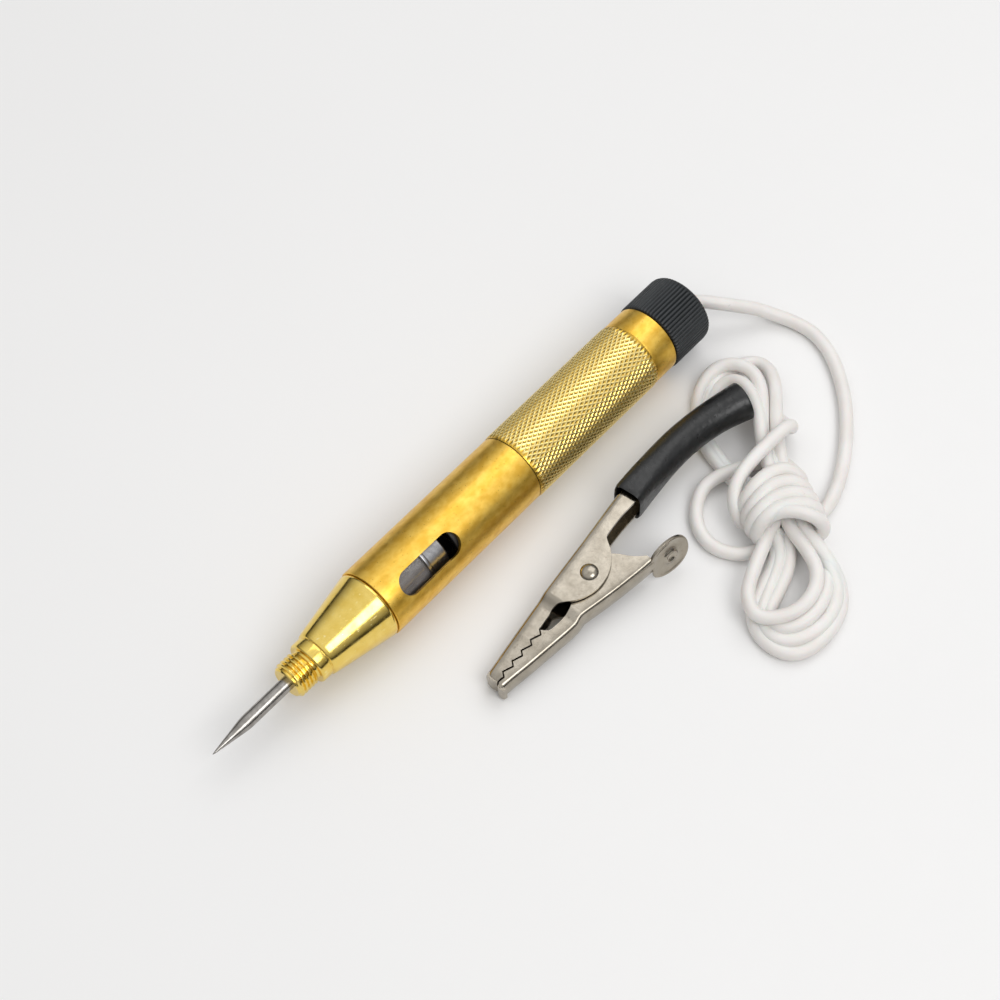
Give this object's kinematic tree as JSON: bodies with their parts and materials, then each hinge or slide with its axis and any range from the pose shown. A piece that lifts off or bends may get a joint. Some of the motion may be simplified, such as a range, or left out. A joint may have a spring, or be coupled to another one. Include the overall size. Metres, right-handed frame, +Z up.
{
  "type": "circuit tester",
  "caption": "Pen-shaped low-voltage circuit tester: needle probe, brass barrel with a lamp behind a window, screw cap, white lead in a tied hank and a sprung crocodile clip.",
  "frame": {"origin": "under the middle of the tester without its lead and clip, on the surface that everything lies on", "axes": "+X along the barrel towards the needle's tip, +Z up, +Y to the side where the clip and the hank lie"},
  "size_m": [0.136, 0.0678, 0.0139],
  "materials": {
    "needle_steel": "ground and polished, bright on the taper",
    "polished_brass": "turned bright brass with fine scratches",
    "satin_brass": "satin brass, mottled with small pits",
    "lamp_glass": "clear glass tube",
    "nickel": "warm nickel plate with light wear",
    "tungsten": "fine dull wire",
    "black_plastic": "moulded dark plastic",
    "spring_steel": "drawn wire",
    "copper": "bare stranded copper",
    "fibre": "pressed red fibre, matte",
    "black_rubber": "soft black tube, slightly glossy",
    "white_pvc": "soft white cable jacket, satin"
  },
  "bodies": {
    "tester": {"barrel": "satin_brass", "insulating_liner": "black_plastic", "rear_contact": "polished_brass", "contact_spring": "spring_steel", "lead_core": "copper", "cord_ferrule": "nickel", "cord_run": "white_pvc", "cord_hank": "white_pvc", "cord_tail": "white_pvc", "clip_sleeve": "black_rubber", "clip_wire_core": "copper", "clip_fixed_jaw": "nickel", "clip_rivet": "nickel", "clip_spring": "spring_steel"},
    "lamp": {"lamp_glass": "lamp_glass", "lamp_rear_cap": "nickel", "lamp_front_cap": "nickel", "lamp_filament": "tungsten", "lamp_lead_rear": "nickel", "lamp_lead_front": "nickel"},
    "nose": {"nose_cone": "polished_brass", "probe_needle": "needle_steel", "front_contact": "polished_brass"},
    "cap_follower": {"cap_washer": "fibre"},
    "cap": {"end_cap": "black_plastic"},
    "clip_jaw": {"clip_moving_jaw": "nickel"}
  },
  "joints": [
    {"name": "jaw_pivot", "type": "hinge", "parent": "tester", "child": "clip_jaw", "pos_m": [-0.0062, 0.0236, 0.00402], "axis": [0.0697, 0.0029, 0.9976], "range_deg": [0, 26], "stiffness_Nm_per_rad": 0.02, "springref_deg": -20.05, "deforming": ["clip_spring"]},
    {"name": "lamp_travel", "type": "slide", "parent": "tester", "child": "lamp", "axis": [1, 0, 0], "range_m": [0, 0.00225], "deforming": ["contact_spring"]},
    {"name": "nose_turn", "type": "hinge", "parent": "lamp", "child": "nose", "pos_m": [0.0229, 0, 0.00695], "axis": [1, 0, 0], "range_deg": [0, 1080]},
    {"name": "cap_travel", "type": "slide", "parent": "tester", "child": "cap_follower", "axis": [-1, 0, 0], "range_m": [0, 0.00225], "deforming": ["cord_run"]},
    {"name": "cap_turn", "type": "hinge", "parent": "cap_follower", "child": "cap", "pos_m": [-0.0503, 0, 0.00695], "axis": [-1, 0, 0], "range_deg": [0, 1080]}
  ],
  "couplings": [
    {"joint": "nose_turn", "follows": "lamp_travel", "rad_per_m": 8377.6},
    {"joint": "cap_turn", "follows": "cap_travel", "rad_per_m": 8377.6}
  ]
}
